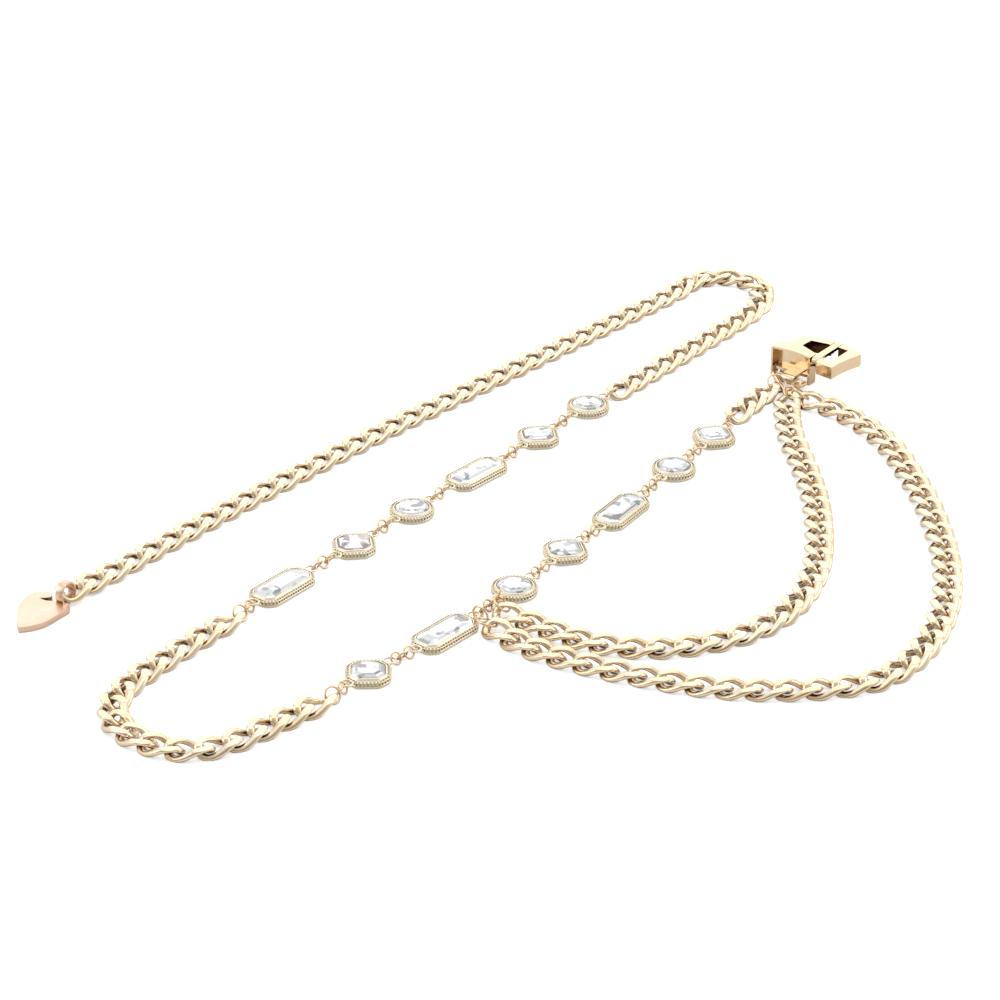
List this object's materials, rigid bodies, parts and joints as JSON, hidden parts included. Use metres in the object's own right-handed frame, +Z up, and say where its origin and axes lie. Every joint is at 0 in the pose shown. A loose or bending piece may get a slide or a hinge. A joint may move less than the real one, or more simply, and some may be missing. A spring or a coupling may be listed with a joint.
{
  "type": "waist chain",
  "caption": "Body chain of curb links with a row of stone settings, two hanging swags, a heart tag at one end and a box clasp at the other, laid open.",
  "frame": {"origin": "middle of the laid-out chain's bounding box, on the surface that it lies on", "axes": "+Z up from the surface, +Y away from the viewer of the picture along the chain's longer extent, +X to the right"},
  "size_m": [0.2622, 0.3054, 0.0096],
  "materials": {
    "heart": "polished",
    "links": "polished",
    "rings": "polished",
    "clasp": "polished",
    "settings": "polished",
    "stones": "faceted"
  },
  "bodies": {
    "chain": {"heart_tag": "heart", "tag_chain": "links", "turn_chain": "links", "loop_chain": "links", "end_chain": "links", "outer_swag": "links", "inner_swag": "links", "jump_rings": "rings", "holding_rings": "rings", "clasp_body": "clasp", "clasp_ring": "clasp", "setting_01": "settings", "setting_02": "settings", "setting_03": "settings", "setting_04": "settings", "setting_05": "settings", "setting_06": "settings", "setting_07": "settings", "setting_08": "settings", "setting_09": "settings", "setting_10": "settings", "setting_11": "settings", "setting_12": "settings", "setting_13": "settings", "stone_01": "stones", "stone_02": "stones", "stone_03": "stones", "stone_04": "stones", "stone_05": "stones", "stone_06": "stones", "stone_07": "stones", "stone_08": "stones", "stone_09": "stones", "stone_10": "stones", "stone_11": "stones", "stone_12": "stones", "stone_13": "stones"},
    "latch": {"clasp_latch": "clasp"}
  },
  "joints": [
    {"name": "latch_hinge", "type": "hinge", "parent": "chain", "child": "latch", "pos_m": [0.09964, 0.06935, 0.0085], "axis": [0.7986, -0.6018, 0], "range_deg": [0, 75]}
  ]
}
